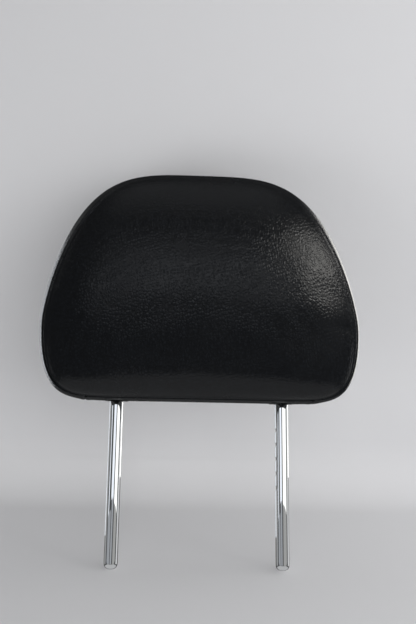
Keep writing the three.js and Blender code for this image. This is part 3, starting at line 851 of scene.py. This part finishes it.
def stitched(name, line, closed, tree, finish):
    """One seam's stitches as a plain mesh on the head."""
    count = len(line)
    edges = [(k, k + 1) for k in range(count - 1)] + ([(count - 1, 0)] if closed else [])
    mesh = bpy.data.meshes.new(name)
    mesh.from_pydata([tuple(p) for p in line], edges, [])
    made = bpy.data.objects.new(name, mesh)
    scene.collection.objects.link(made)
    sewn = made.modifiers.new("sewn", "NODES")
    sewn.node_group = tree
    for socket in tree.interface.items_tree:
        if socket.name == "Finish" and socket.in_out == "INPUT":
            sewn[socket.identifier] = finish
    graph = bpy.context.evaluated_depsgraph_get()
    done = bpy.data.meshes.new_from_object(made.evaluated_get(graph))
    made.modifiers.remove(sewn)
    made.data = done
    done.shade_smooth()
    dress(made, "head", "leather", finish)
    return made


# Bonded nylon sewing thread, black, twisted: a dull shine with a slanting twist 0.5 mm apart
thread = plain_surface(
    "bonded_nylon_thread", "#0d0d0e", "#232426", (0.45, 0.6), 0.5 * MM, 0.05 * MM, stretch=(1, 1, 2)
)
stitches = stitch_tree()
all_round = np.linspace(0, 1, 400, endpoint=False)
across_band = np.linspace(0.06, 0.94, 30)
for name, seam in (("stitches_front_seam", front_seam), ("stitches_rear_seam", rear_seam)):
    stitched(name, skin(all_round, seam(all_round), SEAM_FLOOR), True, stitches, thread)
for side, at in (("right", cross_seam), ("left", -cross_seam)):
    start, end = front_seam(at), rear_seam(at)
    line = skin(at, start + (end - start) * across_band, SEAM_FLOOR)
    stitched(f"stitches_cross_seam_{side}", line, False, stitches, thread)


# Foam and hidden hardware


def foam_core():
    """The foam pad with its moulded, rounded form; its pocket keeps its edges."""
    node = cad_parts["foam_pad"]
    mesh = node.data.copy()
    made = bpy.data.objects.new("foam_core", mesh)
    scene.collection.objects.link(made)
    weld = made.modifiers.new("weld", "WELD")
    weld.merge_threshold = 0.01 * MM
    graph = bpy.context.evaluated_depsgraph_get()
    mesh = bpy.data.meshes.new_from_object(made.evaluated_get(graph))
    made.modifiers.remove(weld)
    made.data = mesh
    mesh.set_sharp_from_angle(angle=math.radians(40))
    return made


foam = foam_core()
dress(foam, "head", "foam", moulded_foam, "foam_pad")

finishes = {
    "armature_front": grey_nylon,
    "armature_rear": grey_nylon,
    "tilt_bush_left_front": acetal,
    "tilt_bush_left_rear": acetal,
    "tilt_bush_right_front": acetal,
    "tilt_bush_right_rear": acetal,
    "friction_spring_left": spring_strip,
    "friction_spring_right": spring_strip,
    **{f"armature_screw_{k}": zinc for k in range(1, 7)},
}
for name, finish in finishes.items():
    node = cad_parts[name]
    node.data.materials.clear()
    node.data.materials.append(finish)


# Camera, stage and light


def in_room(x, back, up):
    """A point of the room, from the spot between the two post tips."""
    return Vector((x, 0, 0)) + ROOM_BACK * back + ROOM_UP * (up - FLOOR_DROP)


def camera():
    made = bpy.data.objects.new("camera", bpy.data.cameras.new("camera"))
    scene.collection.objects.link(made)
    made.data.lens = LENS
    made.data.sensor_width = SENSOR_WIDTH
    yaw, pitch, roll = CAMERA_YAW, CAMERA_PITCH, CAMERA_ROLL
    ahead = Vector((math.sin(yaw) * math.cos(pitch), math.cos(yaw) * math.cos(pitch), math.sin(pitch)))
    right = Vector((math.cos(yaw), -math.sin(yaw), 0))
    up = right.cross(ahead)
    rolled_right = right * math.cos(roll) + up * math.sin(roll)
    rolled_up = up * math.cos(roll) - right * math.sin(roll)
    turned = Matrix((rolled_right, rolled_up, -ahead)).transposed().to_4x4()
    made.matrix_world = Matrix.Translation(CAMERA_PLACE) @ turned
    scene.camera = made


def painted_wall():
    """Matt emulsion paint: pale grey, with a faint roller stipple. It shows from the room's side only."""
    made, tree = material("matt_emulsion_rolled")
    place = add_node(tree, "ShaderNodeTexCoord").outputs["Object"]
    stipple = add_node(tree, "ShaderNodeTexNoise", {"Vector": place, "Scale": 1 / (3 * MM), "Detail": 2.0})
    bump = add_node(
        tree, "ShaderNodeBump", {"Height": stipple.outputs["Fac"], "Strength": 0.1, "Distance": 0.1 * MM}
    )
    paint = add_node(
        tree,
        "ShaderNodeBsdfPrincipled",
        {"Base Color": colour("#d6d6d8"), "Roughness": 0.8, "Normal": bump.outputs[0]},
    )
    seen = add_node(tree, "ShaderNodeNewGeometry").outputs["Backfacing"]
    clear = add_node(tree, "ShaderNodeBsdfTransparent")
    both = add_node(tree, "ShaderNodeMixShader", {0: seen, 1: paint.outputs[0], 2: clear.outputs[0]})
    add_node(tree, "ShaderNodeOutputMaterial", {"Surface": both.outputs[0]})
    return made


def backdrop():
    """Floor and wall in one sheet, rounded where they meet. It stays out of reflections and shadows,
    so that lights behind it reach the back of the head."""
    cove_start = WALL_BACK - COVE
    profile = [(-2.6, 0.0), (-0.6, 0.0), (cove_start, 0.0)]
    for bend in np.radians(np.linspace(0, 90, 9)[1:]):
        profile.append((cove_start + COVE * math.sin(bend), COVE * (1 - math.cos(bend))))
    profile += [(WALL_BACK, 0.8), (WALL_BACK, WALL_TOP)]
    points = [in_room(x, back, up) for x in (-ROOM_HALF_WIDTH, ROOM_HALF_WIDTH) for back, up in profile]
    count = len(profile)
    faces = [[k, count + k, count + k + 1, k + 1] for k in range(count - 1)]
    made = mesh_object("backdrop", points, faces)
    made.data.materials.append(painted_wall())
    made.visible_glossy = made.visible_shadow = False
    return made


def area_light(name, place, ahead, size, radiance, tint):
    lamp = bpy.data.lights.new(name, "AREA")
    lamp.shape = "RECTANGLE"
    lamp.size, lamp.size_y = size
    lamp.energy = radiance * math.pi * size[0] * size[1]
    lamp.color = colour(tint)[:3]
    made = bpy.data.objects.new(name, lamp)
    scene.collection.objects.link(made)
    made.location = place
    made.rotation_mode = "QUATERNION"
    made.rotation_quaternion = ahead.to_track_quat("-Z", "Y")
    made.visible_camera = False
    return made


def soft_light(
    name, azimuth, elevation, distance, size, radiance, tint, mirrored=True, only=None, shaded=True
):
    """A soft light in the room, turned to the head's middle. Its azimuth runs from the camera's side
    to the right, and mirrored=False keeps it out of reflections. With shaded=False the headrest
    throws no shadow of it."""
    azimuth, elevation = math.radians(azimuth), math.radians(elevation)
    away = Vector((math.sin(azimuth) * math.cos(elevation), 0, 0))
    away -= ROOM_BACK * math.cos(azimuth) * math.cos(elevation)
    away += ROOM_UP * math.sin(elevation)
    made = area_light(name, HEAD_MIDDLE + away * distance, -away, size, radiance, tint)
    made.visible_glossy = mirrored
    made.light_linking.receiver_collection = only
    if not shaded:
        made.light_linking.blocker_collection = only


def receivers(name, obj, state):
    """A collection that a light can be linked to: one object only, or all but one."""
    made = bpy.data.collections.new(name)
    made.objects.link(obj)
    made.collection_objects[0].light_linking.link_state = state
    return made


def reflector(name, left, right, bottom, top, radiance, tint):
    """A bright board half a metre in front of the posts that only they mirror, given by its edges."""
    place = Vector(((left + right) / 2, BOARD_Y, (bottom + top) / 2))
    board = area_light(name, place, Vector((0, 1, 0)), (right - left, top - bottom), radiance, tint)
    board.light_linking.receiver_collection = chrome_only


camera()
sheet = backdrop()
chrome_only = receivers("chrome_only", posts, "INCLUDE")
headrest_only = receivers("all_but_backdrop", sheet, "EXCLUDE")
backdrop_only = receivers("backdrop_only", sheet, "INCLUDE")
soft_light("window", 74, 49, 1.8, (1.0, 0.3), 6.6, "#fffdf8", only=headrest_only)
soft_light("ceiling_glow", -3, 55.5, 2.0, (1.66, 0.24), 1.6, "#f4f8ff", only=headrest_only)
soft_light("side_glow", 55, 32, 2.0, (1.0, 0.5), 0.15, "#fbfcff")
soft_light("overhead_glow", 180, 84, 2.0, (1.6, 1.1), 0.26, "#fbfcff", only=headrest_only)
soft_light("right_fill", 75, 18, 1.2, (1.0, 0.8), 1.4, "#ffffff", mirrored=False)
soft_light("low_fill", 27, 10, 1.3, (1.8, 0.8), 2.2, "#ffffff", mirrored=False)
soft_light("left_fill", -48, -14, 0.9, (0.6, 0.4), 2.6, "#ffffff", mirrored=False)
soft_light("top_fill", 20, 72, 1.8, (1.6, 1.0), 0.5, "#ffffff", mirrored=False, only=headrest_only)
# The same light on the floor and the wall, spread so wide that the headrest throws no shadow of it
soft_light("wide_window", 70, 49, 1.8, (0.9, 0.3), 6.6, "#fffdf8", only=backdrop_only, shaded=False)
soft_light("wide_ceiling", 10, 66, 1.9, (1.6, 1.0), 1.1, "#fafcff", only=backdrop_only, shaded=False)
# What the wall and the floor give back to the headrest, and the soft light behind it
soft_light("wall_right", 115, 5, 1.5, (1.2, 1.8), 0.6, "#ffffff", only=headrest_only)
soft_light("wall_left", -115, 5, 1.5, (1.2, 1.8), 0.26, "#ffffff", only=headrest_only)
soft_light("floor_glow", 0, -60, 0.6, (2.0, 1.4), 0.4, "#ffffff", only=headrest_only)
soft_light("rear_window", 142, -2, 2.0, (1.0, 1.2), 2.4, "#fffdf8", only=headrest_only)
soft_light("rear_glow", -145, -8, 2.0, (1.0, 1.2), 1.2, "#f4f8ff", only=headrest_only)
soft_light("rear_low", 180, -38, 1.8, (1.6, 0.5), 1.2, "#ffffff", mirrored=False, only=headrest_only)
reflector("far_left_board", -1.6, -0.85, 0.06, 0.4, 1.0, "#f4f8ff")
reflector("upper_left_board", -0.33, 0.02, 0.075, 0.35, 1.05, "#f4f8ff")
reflector("upper_right_board", 0.16, 1.6, 0.07, 0.45, 1.4, "#fffefa")
reflector("lower_left_board", -1.6, -0.3, -0.12, 0.06, 0.3, "#f4f8ff")
reflector("lower_middle_board", -0.2, 0.02, -0.1, 0.075, 0.33, "#f4f8ff")
reflector("lower_right_board", 0.17, 1.6, -0.12, 0.07, 0.3, "#fffefa")
world = bpy.data.worlds.new("room_light")
world.use_nodes = True
world.node_tree.nodes["Background"].inputs["Color"].default_value = colour("#f2f4f5")
world.node_tree.nodes["Background"].inputs["Strength"].default_value = 0.08
scene.world = world
scene.view_settings.view_transform = "Standard"
